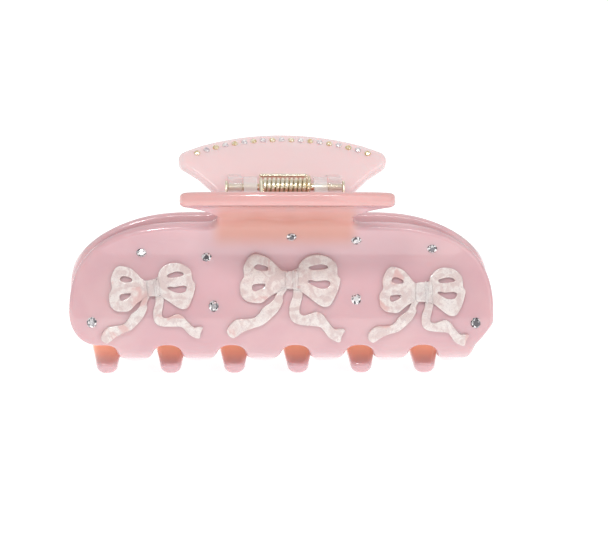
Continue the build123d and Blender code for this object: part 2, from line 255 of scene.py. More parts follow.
def moved_in(loop, distance):
    """The outline moved sideways by a distance, towards the filled side of a loop that runs
    anticlockwise round what is filled."""
    ahead = np.roll(loop, -1, axis=0) - loop
    behind = loop - np.roll(loop, 1, axis=0)
    way = ahead / np.hypot(*ahead.T)[:, None] + behind / np.hypot(*behind.T)[:, None]
    way = way / np.maximum(np.hypot(*way.T), TINY)[:, None]
    return loop + distance * np.stack((-way[:, 1], way[:, 0]), axis=1)


def rim_profile(low, high, top_round, bottom_round, rows):
    """Profile of a plate's rim, as (inset, height): a quarter turn at each edge, straight between."""
    quarter = np.linspace(0, QUARTER, rows + 1)
    bottom = (bottom_round * (1 - np.sin(quarter)), low + bottom_round * (1 - np.cos(quarter)))
    top = (top_round * (1 - np.cos(quarter)), high - top_round * (1 - np.sin(quarter)))
    return np.concatenate((np.stack(bottom, axis=1), np.stack(top, axis=1)))


def filling(rings, across, along):
    """Points of an even grid that lie inside the rings and a little way off them."""
    rim = np.concatenate(rings)
    lowest = rim.min(axis=0)
    highest = rim.max(axis=0)
    x, y = np.meshgrid(np.arange(lowest[0] + GRID_START * across, highest[0], across),
                       np.arange(lowest[1] + GRID_START * along, highest[1], along))
    grid = np.column_stack((x.ravel(), y.ravel()))
    grid = grid[inside(grid, rings)]
    off = np.hypot(grid[:, :1] - rim[:, 0], grid[:, 1:] - rim[:, 1]).min(axis=1)
    return grid[off > GRID_GAP * along]


def flat_face(rings, across, along, upward):
    """One flat face of a plate, as its inner points and its triangles, whose numbers count the rings'
    points first. The triangles keep the rings as edges, and go round so that the face looks up or down."""
    edges = []
    base = 0
    for ring in rings:
        index = np.arange(base, base + len(ring))
        edges.append(np.column_stack((index, np.roll(index, -1))))
        base += len(ring)
    inner = filling(rings, across, along)
    flat = np.concatenate((*rings, inner))
    result = delaunay_2d_cdt([Vector(p) for p in flat], np.concatenate(edges).tolist(), [], 0, MERGE)
    places = np.array([list(p) for p in result[0]])
    made = np.array(result[2])
    origin = np.array([numbers[0] if numbers else -1 for numbers in result[3]])
    made = origin[made[inside(places[made].mean(axis=1), rings)]]
    made = made[(made >= 0).all(axis=1)]
    corner = flat[made]
    side = np.cross(corner[:, 1] - corner[:, 0], corner[:, 2] - corner[:, 0])
    flipped = np.sign(side) != (1 if upward else -1)
    made[flipped] = made[flipped][:, ::-1]
    return inner, made


def plate(loops, low, high, top_round, bottom_round, across=3.0, along=0.5, rows=5):
    """Flat plate between two heights, as points (x, y, height) and faces. The first loop is its
    outline and the others are holes. Its rim is a profile carried round each loop, and its two faces
    are filled from a grid of points."""
    profile = rim_profile(low, high, top_round, bottom_round, rows)
    loops = [loop if (area(loop) > 0) == (k == 0) else loop[::-1] for k, loop in enumerate(loops)]
    points = []
    faces = []
    ends = {0: [], -1: []}
    start = 0
    for loop in loops:
        rings = [moved_in(loop, inset) for inset in profile[:, 0]]
        for ring, height in zip(rings, profile[:, 1]):
            points.append(np.column_stack((ring, np.full(len(loop), height))))
        grid = start + np.arange(len(rings) * len(loop)).reshape(len(rings), len(loop))
        after = np.roll(grid, -1, axis=1)
        faces.append(np.stack((grid[:-1], after[:-1], after[1:], grid[1:]), axis=-1).reshape(-1, 4))
        for end, kept in ends.items():
            kept.append((grid[end], rings[end]))
        start += grid.size
    for end, height in ((0, low), (-1, high)):
        inner, made = flat_face([ring for _, ring in ends[end]], across, along, end == -1)
        numbers = np.concatenate([index for index, _ in ends[end]] + [start + np.arange(len(inner))])
        points.append(np.column_stack((inner, np.full(len(inner), height))))
        faces.append(numbers[made])
        start += len(inner)
    return np.concatenate(points), faces


# ---- pieces --------------------------------------------------------------------------------------
CAP_RINGS = 4
CAP_POLE = 0.02


def put_mesh(name, points, faces, body, material, replaced=(), smooth=True, glint=None):
    """A new piece at the origin, from points in metres and a list of face arrays, riding on a body.
    The painted facet tone is one number for each face: how light or dark its facet is painted."""
    mesh = bpy.data.meshes.new(name)
    rows = [row for block in faces for row in np.asarray(block).tolist()]
    mesh.from_pydata(np.asarray(points).tolist(), [], rows)
    mesh.polygons.foreach_set("use_smooth", np.full(len(rows), smooth))
    if glint is not None:
        layer = mesh.attributes.new("glint", "FLOAT", "FACE")
        layer.data.foreach_set("value", np.asarray(glint, dtype=np.float32))
    mesh.update()
    piece = bpy.data.objects.new(name, mesh)
    bpy.context.scene.collection.objects.link(piece)
    piece.data.materials.append(material)
    if body:
        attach(piece, body)
    if replaced:
        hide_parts(*replaced)
    return piece


def join_blocks(blocks):
    """Several (points, face arrays) as one, with the face numbers moved past the points before."""
    points = []
    faces = []
    start = 0
    for block_points, block_faces in blocks:
        points.append(block_points)
        faces.extend(np.asarray(face) + start for face in block_faces)
        start += len(block_points)
    return np.concatenate(points), faces


def tube(path, radius, reference, sides=14):
    """Round wire along a path: ring k is the centre plus the radius times cos and sin of the angle
    along two directions square to the path, and the last rings shrink to close both ends."""
    way = np.gradient(path, axis=0)
    way = way / np.linalg.norm(way, axis=1)[:, None]
    first = np.cross(way, reference)
    first = first / np.linalg.norm(first, axis=1)[:, None]
    second = np.cross(way, first)
    caps = np.linspace(0, QUARTER, CAP_RINGS + 1)[:-1]
    path = np.concatenate((path[:1] - way[:1] * np.cos(caps)[:, None] * radius, path,
                           path[-1:] + way[-1:] * np.cos(caps[::-1])[:, None] * radius))
    widths = np.concatenate((np.sin(caps), np.ones(len(way)), np.sin(caps[::-1]))) * radius
    widths = np.maximum(widths, radius * CAP_POLE)
    ends = ((CAP_RINGS, CAP_RINGS), (0, 0))
    first = np.pad(first, ends, mode="edge")
    second = np.pad(second, ends, mode="edge")
    angle = np.arange(sides) * 2 * math.pi / sides
    cos = np.cos(angle)[None, :, None]
    sin = np.sin(angle)[None, :, None]
    ring = first[:, None] * cos + second[:, None] * sin
    points = path[:, None] + ring * widths[:, None, None]
    grid = np.arange(len(path) * sides).reshape(len(path), sides)
    after = np.roll(grid, -1, axis=1)
    quads = np.stack((grid[:-1], after[:-1], after[1:], grid[1:]), axis=-1).reshape(-1, 4)
    return points.reshape(-1, 3) * MM, [quads, grid[:1, ::-1], grid[-1:]]


def lathe(profile, sides=48):
    """Ring turned about the pin's axis: a closed profile (x, radius) at even angles."""
    angle = np.arange(sides) * 2 * math.pi / sides
    x = np.repeat(profile[:, :1], sides, axis=1)
    points = np.stack((x, profile[:, 1:] * np.cos(angle), profile[:, 1:] * np.sin(angle)), axis=-1)
    grid = np.arange(len(profile) * sides).reshape(len(profile), sides)
    next_row = np.roll(grid, -1, axis=0)
    after = np.roll(grid, -1, axis=1)
    next_after = np.roll(next_row, -1, axis=1)
    quads = np.stack((grid, next_row, next_after, after), axis=-1).reshape(-1, 4)
    return points.reshape(-1, 3) * MM, [quads]


def bent_path(corners, radius, step=0.12):
    """Open path through corners in space, each turned by a quadratic curve whose ends are a radius
    from it."""
    corners = np.array(corners, dtype=float)
    t = np.linspace(0, 1, 9)[:, None]
    pieces = [corners[:1]]
    for before, here, after in zip(corners, corners[1:], corners[2:]):
        back = before - here
        ahead = after - here
        start = here + back / np.linalg.norm(back) * radius
        stop = here + ahead / np.linalg.norm(ahead) * radius
        pieces.append((1 - t)**2 * start + 2 * t * (1 - t) * here + t**2 * stop)
    pieces.append(corners[-1:])
    path = np.concatenate(pieces)
    along = np.concatenate(([0.0], np.cumsum(np.linalg.norm(np.diff(path, axis=0), axis=1))))
    wanted = np.linspace(0, along[-1], int(along[-1] / step))
    return np.stack([np.interp(wanted, along, path[:, k]) for k in range(3)], axis=1)


def shoulder(depth):
    """One shoulder from beside the waist to the widest place, where the shares of its run and of its
    fall, each to the power p, add up to one."""
    turn = np.linspace(0, QUARTER, CURVE_POINTS)
    across = SHOULDER_FLAT + (JAW_HALF - SHOULDER_FLAT) * np.sin(turn)**(2 / SHOULDER_POWER)
    down = WIDEST_DEPTH - (WIDEST_DEPTH - depth) * np.cos(turn)**(2 / SHOULDER_POWER)
    return [(x, -depth_to_length(d), 0) for x, d in zip(across, down)]


def wing(shoulder_depth):
    """The arched edge, a parabola, and the corners of the right side from it to the slot's foot."""
    slot_top = -depth_to_length(SLOT_DEPTH)
    half = WING_WIDTH / 2
    arc = np.linspace(-half + WING_END, half - WING_END, ARC_POINTS)
    edge = [(x, -WING_BOW * (x / half)**2, 0) for x in arc]
    corner = (half + CORNER_OUT, -WING_BOW - CORNER_DOWN)
    hollow = (corner[0] * HOLLOW_SHARE + WAIST * (1 - HOLLOW_SHARE) - HOLLOW_IN,
              corner[1] * HOLLOW_SHARE + slot_top * (1 - HOLLOW_SHARE) + HOLLOW_UP)
    right = [(*corner, CORNER_ROUND), (*hollow, HOLLOW_ROUND), (WAIST, slot_top, SLOT_TOP_ROUND),
             (WAIST, -depth_to_length(shoulder_depth), SLOT_FOOT_ROUND)]
    return edge, right


def jaw_outline(shoulder_depth, drift):
    """Outline of one jaw on the flat sheet, as x across and height below the handle tip: the wing,
    the right shoulder and end, the teeth with arches between, and the left end, a quarter ellipse."""
    edge, right = wing(shoulder_depth)
    curve = shoulder(shoulder_depth)
    tip = -LENGTH
    arch = ARCH - LENGTH
    jaw = [(x + drift, y, r) for x, y, r in curve]
    jaw += [(JAW_HALF + drift, -depth_to_length(END_DEPTH), END_ROUND)]
    for x in PITCH * (np.arange(TEETH / 2, -TEETH / 2, -1) - TOOTH_SHIFT) + drift:
        jaw += [(x + ROOT / 2, arch, ARCH_ROUND), (x + TIP / 2, tip, TIP_ROUND),
                (x - TIP / 2, tip, TIP_ROUND), (x - ROOT / 2, arch, ARCH_ROUND)]
    turn = np.linspace(0, QUARTER, CURVE_POINTS)
    end_x = -JAW_HALF + END_WIDTH * (1 - np.sin(turn))
    end_y = arch + (-depth_to_length(WIDEST_DEPTH) - arch) * (1 - np.cos(turn))
    jaw += [(x + drift, y, 0) for x, y in zip(end_x, end_y)]
    jaw += [(-x + drift, y, r) for x, y, r in curve[::-1]]
    left = [(-x, y, r) for x, y, r in right[::-1]]
    return rounded(edge + right + jaw + left, OUTLINE_STEP)


def add_jaw(name, body, turned, material, edge):
    """One jaw: the flat outline with rounded edges, carried onto the bent sheet. The rear jaw is
    turned half a turn about the upright axis."""
    outline = jaw_outline(REAR_SHOULDER_DEPTH, DRIFT) if turned else jaw_outline(SHOULDER_DEPTH, -DRIFT)
    points, faces = plate([outline], -HALF, HALF, edge, edge)
    place = on_sheet(points[:, 0], -points[:, 1], points[:, 2], turned)
    node = "rear_jaw" if turned else "front_jaw"
    put_mesh(name, place, faces, body, material, [node])


# ---- ribbon bows, in millimetres from the knot, up the sheet -------------------------------------
LEFT_LOOP = (
    (-1.2, 2.2), (-2.6, 3.8), (-3.9, 5.1), (-6.0, 5.9), (-7.2, 5.4), (-8.0, 4.1), (-8.5, 2.6),
    (-8.4, 0.9), (-9.1, -0.3), (-9.2, -1.6), (-8.9, -2.9), (-7.9, -3.8), (-6.4, -4.1), (-5.0, -4.1),
    (-3.9, -3.4), (-2.9, -2.7), (-1.0, -1.8), (0.6, -1.2), (0.6, 1.6),
)
LEFT_SLOTS = (
    ((-6.4, 2.8), (-5.6, 3.7), (-3.9, 2.8), (-4.0, 1.8), (-5.8, 2.0)),
    ((-6.8, -1.6), (-6.5, -0.5), (-4.5, -0.3), (-4.5, -1.1), (-5.6, -1.9), (-6.4, -2.2)),
)
RIGHT_LOOP = (
    (2.0, 2.6), (2.3, 3.6), (3.7, 5.1), (5.6, 5.7), (7.5, 5.3), (9.1, 4.0), (9.6, 2.8), (9.7, 1.2),
    (10.2, 0.2), (9.8, -1.6), (9.1, -3.2), (8.2, -4.5), (7.2, -4.8), (6.1, -4.5), (4.7, -3.6),
    (3.6, -2.8), (2.4, -2.0), (1.0, -1.2), (1.0, 1.8),
)
RIGHT_SLOTS = (
    ((4.1, 2.5), (4.7, 3.1), (6.4, 3.6), (7.6, 3.1), (7.5, 2.3), (4.9, 1.9)),
    ((3.9, 0.0), (4.5, 0.4), (5.5, 0.1), (7.5, 0.3), (8.2, -0.3), (7.7, -1.6), (6.3, -1.8), (4.9, -1.0)),
)
LEFT_TAIL = (
    (0.2, -1.0), (-0.9, -2.9), (-0.9, -3.9), (-1.8, -5.4), (-3.3, -6.8), (-4.9, -7.9), (-6.6, -8.4),
    (-8.5, -9.1), (-9.9, -10.0), (-10.6, -10.2), (-11.5, -9.5), (-11.6, -8.6), (-10.7, -7.5),
    (-9.6, -6.9), (-6.8, -6.7), (-5.6, -6.0), (-4.7, -4.9), (-2.9, -3.7), (-2.2, -2.6), (-1.2, -1.0),
)
RIGHT_TAIL = (
    (1.2, -1.0), (1.0, -2.9), (0.4, -4.4), (0.3, -5.9), (0.7, -7.0), (1.8, -7.7), (3.9, -8.0),
    (6.1, -8.2), (6.9, -8.8), (8.0, -10.1), (9.5, -10.9), (10.3, -10.9), (10.5, -10.0), (11.1, -8.8),
    (10.1, -8.6), (9.1, -8.6), (8.0, -7.5), (6.9, -6.2), (5.8, -5.6), (4.7, -5.8), (3.3, -6.2),
    (2.4, -5.9), (2.3, -5.0), (2.7, -3.6), (2.9, -2.4), (2.4, -1.0),
)
KNOT = (
    (-0.9, 2.1), (0.3, 2.35), (1.5, 2.3), (2.3, 2.6), (2.7, 1.6), (2.75, 0.3), (2.6, -1.0), (2.9, -2.3),
    (1.7, -2.1), (0.4, -2.0), (-0.9, -1.9), (-1.15, -0.9), (-1.2, 0.4), (-1.1, 1.4),
)
FOLD = (
    (0.9, 2.3), (1.5, 2.25), (1.75, 1.2), (1.8, 0.0), (1.7, -1.2), (1.8, -2.1), (1.1, -2.05),
    (1.0, -0.8), (0.95, 0.6),
)
KNOT_MIDDLE = (0.8, 0.2)
KNOT_LOW = 0.15
SLOT_LOW = 0.72
BOW_SINK = 0.12
BOW_FOOT_ROUND = 0.05
BOW_STEP = 0.22

# Name, place across the jaw, depth below the pin, turn in degrees, size, and size of the knot.
BOWS = (
    ("bow_left", -30.05, 22.6, 5.0, 1.0, 0.72),
    ("bow_centre", 0.65, 21.0, 0.0, 1.16, 0.66),
    ("bow_right", 30.35, 23.3, 0.0, 1.0, 1.0),
)


def scaled(loop, middle, across, up):
    """The loop made wider and higher about a middle."""
    return (np.array(loop) - middle) * (across, up) + middle


def ribbon(loop, slots):
    """A loop of ribbon with its slots, each taken down in height about its own middle."""
    return [loop] + [scaled(slot, np.mean(slot, axis=0), 1.0, SLOT_LOW) for slot in slots]


def spun(points, angle):
    """First two columns turned in their plane: x cos - y sin, and x sin + y cos."""
    x, y = points[:, 0], points[:, 1]
    return x * math.cos(angle) - y * math.sin(angle), x * math.sin(angle) + y * math.cos(angle)


def add_bow(name, x, depth, turn, size, knot, thickness, material):
    """One bow: loops, tails and a knot, each a thin plate with a rounded edge that lies on the jaw."""
    tied, fold = (scaled(loop, KNOT_MIDDLE, knot, min(1.0, knot + KNOT_LOW)) for loop in (KNOT, FOLD))
    # Each layer has its loops, its height as a share of the thickness, and the radius of its edge.
    layers = (([RIGHT_TAIL], 0.86, 0.26), ([LEFT_TAIL], 0.92, 0.26),
              (ribbon(RIGHT_LOOP, RIGHT_SLOTS), 1.0, 0.3), (ribbon(LEFT_LOOP, LEFT_SLOTS), 1.04, 0.3),
              ([tied], 1.4, 0.42), ([fold], 1.54, 0.14))
    blocks = []
    for loops, level, edge in layers:
        curves = [smooth_loop(np.array(loop) * size, BOW_STEP) for loop in loops]
        blocks.append(plate(curves, -BOW_SINK, thickness * level, edge, BOW_FOOT_ROUND, across=1.0,
                            along=0.9, rows=4))
    points, faces = join_blocks(blocks)
    across, up = spun(points, math.radians(turn))
    place = on_sheet(x + across, depth_to_length(depth) - up, HALF + points[:, 2])
    put_mesh(name + "_ribbon", place, faces, "front", material, [name])


# ---- stones and crystals -------------------------------------------------------------------------
# Places of the stones across the jaw and below the pin, in millimetres.
STONES = (
    (-31.9, 14.6), (-17.4, 15.7), (1.5, 10.3), (16.0, 11.3), (33.1, 13.6), (-15.8, 25.8), (16.0, 24.5),
    (-42.9, 29.0), (42.9, 29.2),
)
# Rings of a stone from its foot to its table, as (radius, height), and its number of sides.
BRILLIANT = ((1.12, -0.3), (1.15, 0.06), (0.92, 0.29), (0.58, 0.46))
BRILLIANT_SIDES = 10
DOMED = ((0.7, -0.1), (0.74, 0.14), (0.55, 0.38), (0.32, 0.5))
DOMED_SIDES = 8
CRYSTALS = 19
CRYSTAL_PITCH = 2.15
CRYSTAL_INSET = 2.5


def gem(rings, sides):
    """A cut stone, flat underneath: rings of the same number of corners, each turned half a step
    from the one below, with a triangle on every side and a flat table on top."""
    k = np.arange(sides)
    level = np.arange(len(rings))[:, None]
    angle = (k[None, :] + 0.5 * level) * 2 * math.pi / sides
    radius = np.array(rings)[:, :1]
    points = np.stack((radius * np.cos(angle), radius * np.sin(angle),
                       np.repeat(np.array(rings)[:, 1:], sides, axis=1)), axis=-1).reshape(-1, 3)
    grid = np.arange(len(rings) * sides).reshape(len(rings), sides)
    after = np.roll(grid, -1, axis=1)
    lower = np.stack((grid[:-1], after[:-1], grid[1:]), axis=-1).reshape(-1, 3)
    upper = np.stack((after[:-1], after[1:], grid[1:]), axis=-1).reshape(-1, 3)
    return points, [lower, upper, grid[:1, ::-1], grid[-1:]]


def add_stones(material, seed):
    """Cut stones in the outer face of the front jaw, each spun by chance, with painted light and dark on
    its facets picked by chance.
    """
    rng = np.random.default_rng(seed)
    for number, (x, depth) in enumerate(STONES, start=1):
        points, faces = gem(BRILLIANT, BRILLIANT_SIDES)
        across, up = spun(points, rng.uniform(0, math.pi))
        place = on_sheet(x + across, depth_to_length(depth) - up, HALF + points[:, 2])
        count = sum(len(face) for face in faces)
        # Each facet gets a painted light or dark tone by chance.
        put_mesh(f"cut_stone_{number}", place, faces, "front", material,
                 [f"rhinestone_{number}"], smooth=False, glint=rng.random(count))


def add_crystals(name, first, material, node, seed):
    """Every other crystal of the row along the rear handle's arched edge, on its inner face. The row
    follows a circle: its fall is the radius less the square root of radius squared less x squared."""
    rng = np.random.default_rng(seed)
    rise = WING_BOW + HALF / 2
    bow_radius = ((WING_WIDTH / 2)**2 + rise**2) / (2 * rise)
    blocks = []
    for number in range(first, CRYSTALS, 2):
        x = (number - (CRYSTALS - 1) / 2) * CRYSTAL_PITCH
        drop = bow_radius - math.sqrt(bow_radius**2 - x**2)
        points, faces = gem(DOMED, DOMED_SIDES)
        place = on_sheet(x + points[:, 0], drop + CRYSTAL_INSET + points[:, 1], -HALF - points[:, 2], True)
        blocks.append((place, faces))
    points, faces = join_blocks(blocks)
    count = sum(len(face) for face in faces)
    # Each facet gets a painted light or dark tone by chance.
    put_mesh(name, points, faces, "root", material, [node], smooth=False, glint=rng.random(count))


# ---- hinge, in millimetres -----------------------------------------------------------------------
COIL_END = 5.4
COIL_RADIUS = 1.65
COIL_TURNS = 11
COIL_STEPS = 48
WIRE = 0.45
LEG_START = -0.1
LEG_LEAD = 2.0
LEG_REACH = 7.0
LEG_LEVEL = 0.25
LEG_STOP = -5.1
LEG_BEND = 0.9
PIN_HALF = 12.7
PIN_RADIUS = 0.8
PIN_BORE = 0.45
HEAD = 0.6
HEAD_RADIUS = 1.45
# Points of the pin's mouth, as (in from its end, out from the bore), and of the fillet behind its
# collar, as (in from the collar, out from the pin).
MOUTH = ((0.7, 0.0), (0.3, 0.1), (0.08, 0.35))
FILLET = ((0.0, 0.12), (0.15, 0.0))


def add_spring(material):
    """Coil round the pin, x falling evenly while the angle turns, and one leg to each handle."""
    turn = np.linspace(0, COIL_TURNS * 2 * math.pi, COIL_TURNS * COIL_STEPS)
    coil = np.stack((COIL_END * (1 - 2 * turn / turn[-1]), COIL_RADIUS * np.sin(-turn),
                     COIL_RADIUS * np.cos(turn)), axis=1)
    points, faces = tube(coil, WIRE, (1, 0, 0))
    piece = put_mesh("spring_coil", points, faces, None, material, ["torsion_spring"])
    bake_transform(piece)
    for name, side, body in (("spring_leg_rear", 1, "root"), ("spring_leg_front", -1, "front")):
        corners = ((COIL_END, LEG_START, COIL_RADIUS), (COIL_END, LEG_LEAD, COIL_RADIUS),
                   (COIL_END, LEG_REACH, LEG_LEVEL), (LEG_STOP, LEG_REACH, LEG_LEVEL))
        path = bent_path(np.array(corners) * (side, side, 1), LEG_BEND)
        points, faces = tube(path, WIRE, (0, 0, 1))
        put_mesh(name, points, faces, body, material)


def add_pin(material):
    """Hollow pin with a rounded collar turned over at each end, from a profile turned about its axis."""
    end = PIN_HALF + HEAD
    quarter = np.linspace(0, QUARTER, 7)
    curl = HEAD / 2
    along = curl * np.cos(quarter)
    around = curl * np.sin(quarter)
    lip = np.stack((end - curl + along, HEAD_RADIUS - curl + around), 1)
    back = np.stack((PIN_HALF + curl - around, HEAD_RADIUS - curl + along), 1)
    mouth = np.array([(end - inward, PIN_BORE + outward) for inward, outward in MOUTH])
    fillet = np.array([(PIN_HALF - inward, PIN_RADIUS + outward) for inward, outward in FILLET])
    right = np.concatenate((mouth, lip, back, fillet, [(0.0, PIN_RADIUS)]))
    left = right[::-1][1:] * (-1, 1)
    points, faces = lathe(np.concatenate((right, left)))
    put_mesh("rolled_pin", points, faces, "root", material, ["hinge_pin"])


# ---- shader maths --------------------------------------------------------------------------------
class Flow:
    """A socket in a node tree that adds Math nodes when it is used in a sum."""

    def __init__(self, tree, socket):
        self.tree = tree
        self.socket = socket

    def joined(self, operation, first, second):
        """The Math node of that operation on two numbers or sockets."""
        node = add_node(self.tree, "ShaderNodeMath", {"operation": operation}, {0: first, 1: second})
        return Flow(self.tree, node.outputs[0])

    def __add__(self, other):
        return self.joined("ADD", self, other)

    def __radd__(self, other):
        return self.joined("ADD", other, self)

    def __sub__(self, other):
        return self.joined("SUBTRACT", self, other)

    def __rsub__(self, other):
        return self.joined("SUBTRACT", other, self)

    def __mul__(self, other):
        return self.joined("MULTIPLY", self, other)

    def __rmul__(self, other):
        return self.joined("MULTIPLY", other, self)

    def within(self, low, high):
        """Nought below low, one above high, with a smooth rise between."""
        node = add_node(self.tree, "ShaderNodeMapRange", {"interpolation_type": "SMOOTHSTEP"},
                        {"Value": self, "From Min": low, "From Max": high})
        return Flow(self.tree, node.outputs[0])

    def band(self, rise, fall):
        """One between a smooth rise and a smooth fall, each given as (low, high), and nought outside."""
        return self.within(*rise) * (1 - self.within(*fall))


def add_node(tree, kind, settings=None, values=None):
    """A node of a type, with its settings first and then its sockets' values or links."""
    node = tree.nodes.new(kind)
    for key, value in (settings or {}).items():
        if key == "stops":
            ramp = node.color_ramp
            ramp.elements[0].position, ramp.elements[0].color = value[0]
            ramp.elements[1].position, ramp.elements[1].color = value[-1]
            for position, colour in value[1:-1]:
                ramp.elements.new(position).color = colour
        else:
            setattr(node, key, value)
    for key, value in (values or {}).items():
        socket = node.inputs[key]
        if isinstance(value, Flow):
            tree.links.new(value.socket, socket)
        else:
            socket.default_value = value
    return node


def tone(red, green, blue):
    """A screen colour, given in parts of 255."""
    return red / 255, green / 255, blue / 255


def linear(colour):
    """The light that a screen colour stands for: c / 12.92 near black, and above that
    (c + 0.055) / 1.055 to the power 2.4."""
    c = np.array(colour)
    c = np.where(c <= 0.04045, c / 12.92, ((c + 0.055) / 1.055)**2.4)
    return (*c.tolist(), 1.0)


class Paint:
    """A new material with its surface shader and the patterns that feed it."""

    def __init__(self, name, **constants):
        self.material = bpy.data.materials.new(name)
        self.material.use_nodes = True
        self.tree = self.material.node_tree
        self.surface = self.tree.nodes["Principled BSDF"]
        for key, value in constants.items():
            self.surface.inputs[key.replace("_", " ")].default_value = value
        coordinates = add_node(self.tree, "ShaderNodeTexCoord")
        self.place = Flow(self.tree, coordinates.outputs["Object"])
        parts = add_node(self.tree, "ShaderNodeSeparateXYZ", None, {0: self.place})
        self.x, self.y, self.z = (Flow(self.tree, parts.outputs[k]) for k in range(3))

    def noise(self, scale, detail=3.0, distortion=0.0, place=None):
        """Clouded noise from nought to one."""
        node = add_node(self.tree, "ShaderNodeTexNoise", None,
                        {"Vector": place or self.place, "Scale": scale, "Detail": detail,
                         "Distortion": distortion})
        return Flow(self.tree, node.outputs["Fac"])

    def stretched(self, scale):
        """Place on the piece with each direction scaled, which draws a pattern out."""
        node = add_node(self.tree, "ShaderNodeMapping", None, {"Vector": self.place, "Scale": scale})
        return Flow(self.tree, node.outputs[0])

    def mixed(self, factor, first, second):
        """First colour where the factor is nought and second where it is one."""
        node = add_node(self.tree, "ShaderNodeMix", {"data_type": "RGBA"}, {0: factor, 6: first, 7: second})
        return Flow(self.tree, node.outputs[2])

    def feed(self, socket, value):
        """Link a pattern to one of the surface's sockets."""
        self.tree.links.new(value.socket, self.surface.inputs[socket])

    def bump(self, height, strength, distance):
        """Fine relief from a pattern of heights."""
        node = add_node(self.tree, "ShaderNodeBump", None,
                        {"Height": height, "Strength": strength, "Distance": distance})
        self.feed("Normal", Flow(self.tree, node.outputs[0]))


# ---- finishes ------------------------------------------------------------------------------------
# Where painted light and shade go on the sheet, in metres: over what height or width each tone comes in and
# goes.
PAINTED_TOOTH_GLOW = ((-0.0415, -0.0375), (-0.034, -0.029))
OUTER_FACE = (0.0045, 0.0072)
PAINTED_HANDLE_RISE = (-0.006, 0.0)
PAINTED_LIGHT_RISE = (-0.028, -0.014)
PAINTED_LIGHT_SIDES = ((-0.034, -0.014), (0.014, 0.034))
PAINTED_WAIST_SHADE = ((-0.0145, -0.0095), (-0.0035, 0.001))
PAINTED_WAIST_SIDES = ((-0.0175, -0.0135), (0.0135, 0.0175))
PAINTED_RIM_RISE = (-0.002, 0.002)


def front_painted_light(paint, pink, colours):
    """Painted light and shade on the front jaw: painted paler below the handle, where the handle's shade
    falls; a painted warm shade at the waist, where light bleeds through; and a deeper painted tone on the
    handle's edge.
    """
    # Painted light: the body below the front handle is painted paler, to lift the shade that the handle
    # casts there.
    painted_light_under_handle = paint.z.within(*PAINTED_LIGHT_RISE) * paint.x.band(*PAINTED_LIGHT_SIDES)
    pink = paint.mixed(painted_light_under_handle * 0.8, pink, linear(colours.painted_light_pink))
    # Painted shade: a warm salmon at the waist, beneath the handle's overhang, standing for shade with
    # light bleeding through the sheet.
    glow = paint.z.band(*PAINTED_WAIST_SHADE) * paint.x.band(*PAINTED_WAIST_SIDES)
    pink = paint.mixed(glow * 0.9, pink, linear(colours.painted_waist_tone))
    # Painted tone: the front handle is painted deeper and warmer, for the light that gathers in its thick
    # edge.
    return paint.mixed(paint.z.within(*PAINTED_RIM_RISE), pink, linear(colours.rim))


def rear_painted_light(paint, pink, colours):
    """Painted light on the rear jaw: a painted warm glow, given off as emission, in the roots of the teeth
    on their inner side, standing for light shining through the sheet; and a handle painted paler, as if
    more lit.
    """
    # Painted glow: the tooth roots give off light of their own, though they are no lamp.
    paint.surface.inputs["Emission Strength"].default_value = 0.6
    glow = paint.z.band(*PAINTED_TOOTH_GLOW) * (1 - paint.y.within(*OUTER_FACE))
    pink = paint.mixed(glow * 0.85, pink, linear(colours.painted_ember))
    paint.feed("Emission Color", paint.mixed(glow, BLACK, linear(colours.painted_ember)))
    # Painted light: the rear handle is painted paler, as if more lit from above.
    return paint.mixed(paint.z.within(*PAINTED_HANDLE_RISE), pink, linear(colours.handle))


def acetate(name, colours, painted_light):
    """Cast acetate: clouded pink, with painted light and shade laid over it, such as a painted warm glow
    that stands for light gathering in the thickness.
    """
    paint = Paint(name, Subsurface_Weight=0.35, Subsurface_Scale=0.004, Subsurface_Radius=(1.0, 0.45, 0.4),
                  IOR=1.49, Coat_Weight=1.0, Coat_Roughness=0.04)
    cloud = paint.noise(55.0, 4.0, 0.6)
    pink = paint.mixed(cloud.within(0.35, 0.7), linear(colours.pink), linear(colours.pale_pink))
    paint.feed("Base Color", painted_light(paint, pink, colours))
    paint.feed("Roughness", 0.1 + 0.1 * paint.noise(900.0, 2.0))
    paint.bump(paint.noise(140.0, 2.0), 0.06, 0.0006)
    return paint.material


def pearl(name, colours):
    """Pearl acetate: pale, with folded bands, thin cool veins and clear patches that let pink through."""
    paint = Paint(name, Subsurface_Weight=0.25, Subsurface_Scale=0.002, Subsurface_Radius=(1.0, 0.8, 0.7),
                  IOR=1.5, Coat_Weight=1.0, Coat_Roughness=0.03)
    folds = paint.noise(300.0, 5.0, 1.8)
    veins = paint.noise(620.0, 3.0, 3.0)
    patches = paint.noise(130.0, 4.0, 1.2)
    base = paint.mixed(folds.within(0.38, 0.6), linear(colours.pearl), linear(colours.pearl_light))
    line = veins.band((0.47, 0.5), (0.5, 0.53))
    base = paint.mixed(line * 0.55, base, linear(colours.pearl_shade))
    base = paint.mixed(patches.within(0.56, 0.66) * 0.75, base, linear(colours.pearl_clear))
    paint.feed("Base Color", base)
    paint.feed("Roughness", 0.14 + 0.14 * veins)
    paint.bump(folds + 0.6 * patches, 0.2, 0.0003)
    return paint.material


def metal(name, colour, shade):
    """Plated wire and tube: bright, with fine draw lines and a duller film."""
    paint = Paint(name, Metallic=1.0)
    lines = paint.noise(1600.0, 2.0, 0.0, paint.stretched((0.15, 1.0, 1.0)))
    film = paint.noise(300.0, 3.0, 0.4)
    paint.feed("Base Color", paint.mixed(film.within(0.4, 0.75), linear(colour), linear(shade)))
    paint.feed("Roughness", 0.16 + 0.16 * lines)
    paint.bump(lines, 0.1, 0.00008)
    return paint.material


